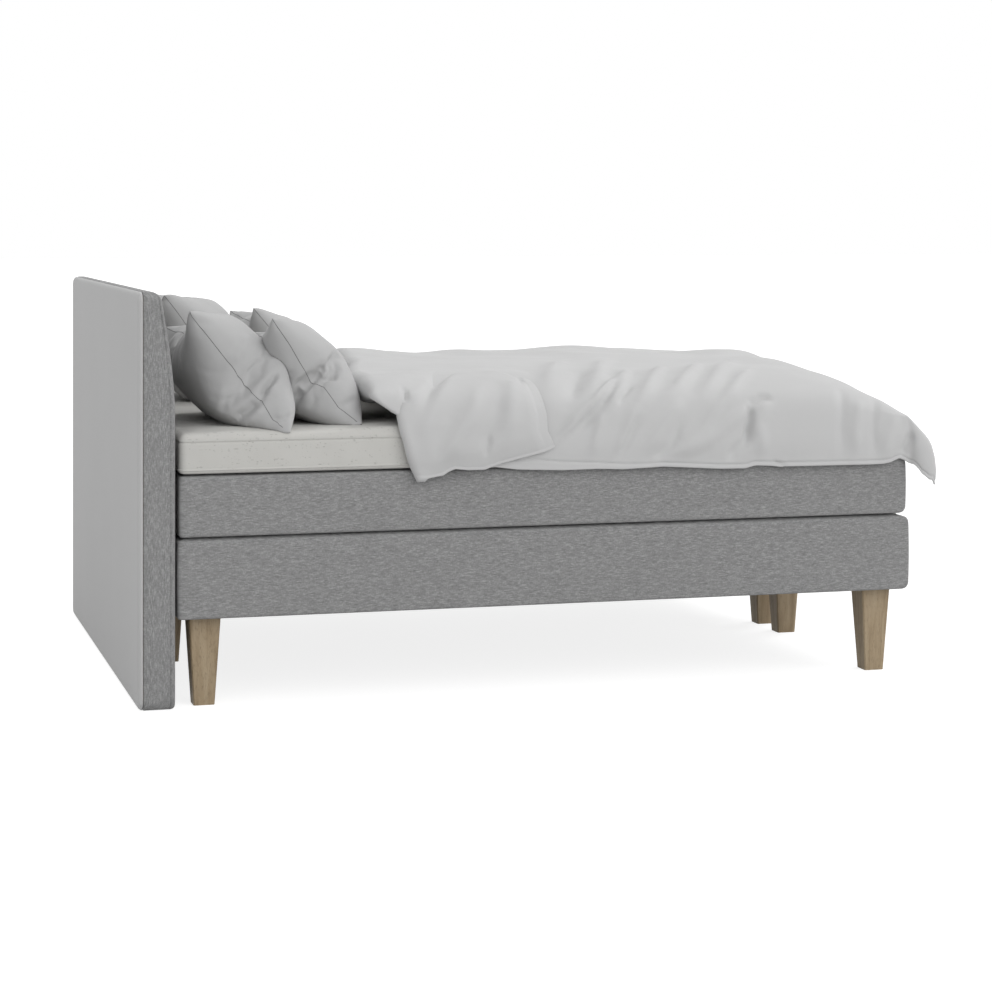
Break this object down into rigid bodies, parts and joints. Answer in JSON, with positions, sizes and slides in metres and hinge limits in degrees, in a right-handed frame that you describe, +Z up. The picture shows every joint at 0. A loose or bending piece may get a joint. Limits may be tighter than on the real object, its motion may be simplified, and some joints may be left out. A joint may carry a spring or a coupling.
{
  "type": "box spring bed",
  "caption": "Double box spring bed: two sprung bases on tapered wooden legs, mattresses, topper, padded headboard, pillows and duvet",
  "frame": {"origin": "On the floor, under the middle of the whole bed: halfway between the headboard back and the duvet foot edge, on the line where the two bases meet", "axes": "+X to the foot end, +Y to the right side as seen from the foot end, +Z up"},
  "size_m": [2.176, 1.701, 1.058],
  "materials": {
    "box_fabric": "woven melange upholstery fabric",
    "back_fabric": "plain woven backing cloth",
    "topper_fabric": "knitted stretch ticking",
    "bedding": "smooth cotton",
    "oak": "matt whitewashed oak",
    "frame_timber": "planed softwood",
    "deck_board": "hardboard",
    "spring_pockets": "non-woven pockets over steel springs",
    "foam": "open-cell foam",
    "dust_cloth": "black non-woven cloth",
    "steel": "zinc plated"
  },
  "bodies": {
    "root": {"left_base_outer_rail": "frame_timber", "left_base_inner_rail": "frame_timber", "left_base_head_rail": "frame_timber", "left_base_foot_rail": "frame_timber", "left_base_head_leg_rail": "frame_timber", "left_base_foot_leg_rail": "frame_timber", "left_base_centre_rail": "frame_timber", "left_base_deck": "deck_board", "left_base_springs": "spring_pockets", "left_base_cover": "box_fabric", "left_base_bottom_cloth": "dust_cloth", "left_head_outer_leg": "oak", "left_head_outer_leg_bolt": "steel", "left_head_inner_leg": "oak", "left_head_inner_leg_bolt": "steel", "left_foot_outer_leg": "oak", "left_foot_outer_leg_bolt": "steel", "left_foot_inner_leg": "oak", "left_foot_inner_leg_bolt": "steel", "left_mattress_springs": "spring_pockets", "left_mattress_foam": "foam", "left_mattress_cover": "box_fabric", "left_back_pillow": "bedding", "left_front_pillow": "bedding", "left_headboard_bolt": "steel", "right_base_outer_rail": "frame_timber", "right_base_inner_rail": "frame_timber", "right_base_head_rail": "frame_timber", "right_base_foot_rail": "frame_timber", "right_base_head_leg_rail": "frame_timber", "right_base_foot_leg_rail": "frame_timber", "right_base_centre_rail": "frame_timber", "right_base_deck": "deck_board", "right_base_springs": "spring_pockets", "right_base_cover": "box_fabric", "right_base_bottom_cloth": "dust_cloth", "right_head_outer_leg": "oak", "right_head_outer_leg_bolt": "steel", "right_head_inner_leg": "oak", "right_head_inner_leg_bolt": "steel", "right_foot_outer_leg": "oak", "right_foot_outer_leg_bolt": "steel", "right_foot_inner_leg": "oak", "right_foot_inner_leg_bolt": "steel", "right_mattress_springs": "spring_pockets", "right_mattress_foam": "foam", "right_mattress_cover": "box_fabric", "right_back_pillow": "bedding", "right_front_pillow": "bedding", "right_headboard_bolt": "steel", "headboard_frame": "frame_timber", "headboard_foam": "foam", "headboard_cover": "box_fabric", "headboard_back_cloth": "back_fabric", "topper_core": "foam", "topper_cover": "topper_fabric", "duvet": "bedding", "head_connector": "steel", "foot_connector": "steel"}
  },
  "joints": []
}
